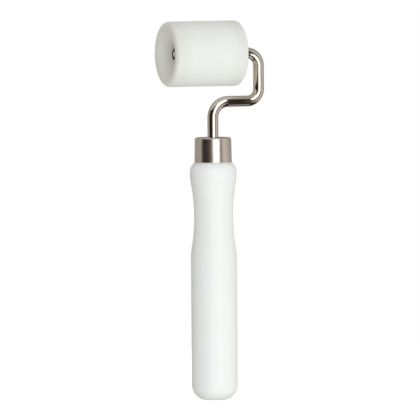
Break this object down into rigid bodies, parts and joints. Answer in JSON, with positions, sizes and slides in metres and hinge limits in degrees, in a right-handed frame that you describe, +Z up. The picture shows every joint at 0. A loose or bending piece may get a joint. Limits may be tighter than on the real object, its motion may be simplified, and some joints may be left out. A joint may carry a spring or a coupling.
{
  "type": "rubber brayer",
  "caption": "Hand brayer: a thick rubber-covered roller free to spin on a cranked wire frame, set in a plated ferrule and a waisted handle.",
  "frame": {"origin": "centre of the small flat on the handle's rounded butt", "axes": "+Z up the handle's axis, from the butt to the roller; X along the roller's axle, with the crank's upper leg on +X and the axle's free end facing -X; the wire lies in the XZ plane"},
  "size_m": [0.0614, 0.0382, 0.221],
  "materials": {
    "handle_plastic": "semi-matte moulded white plastic",
    "plated_metal": "bright nickel plate",
    "black_steel": "black oxide",
    "white_rubber": "smooth ground white rubber",
    "core_plastic": "moulded white plastic",
    "bush_bronze": "plain sintered bronze"
  },
  "bodies": {
    "frame": {"handle": "handle_plastic", "ferrule": "plated_metal", "wire_frame": "plated_metal", "retaining_ring": "black_steel", "thrust_washer_outboard": "core_plastic", "thrust_washer_inboard": "core_plastic"},
    "roller": {"roller_sleeve": "white_rubber", "core_tube": "core_plastic", "hub_outboard": "core_plastic", "hub_inboard": "core_plastic", "bush_outboard": "bush_bronze", "bush_inboard": "bush_bronze"}
  },
  "joints": [
    {"name": "roller_spin", "type": "hinge", "parent": "frame", "child": "roller", "pos_m": [-0.0067, 0, 0.20195], "axis": [1, 0, 0], "continuous": true}
  ]
}
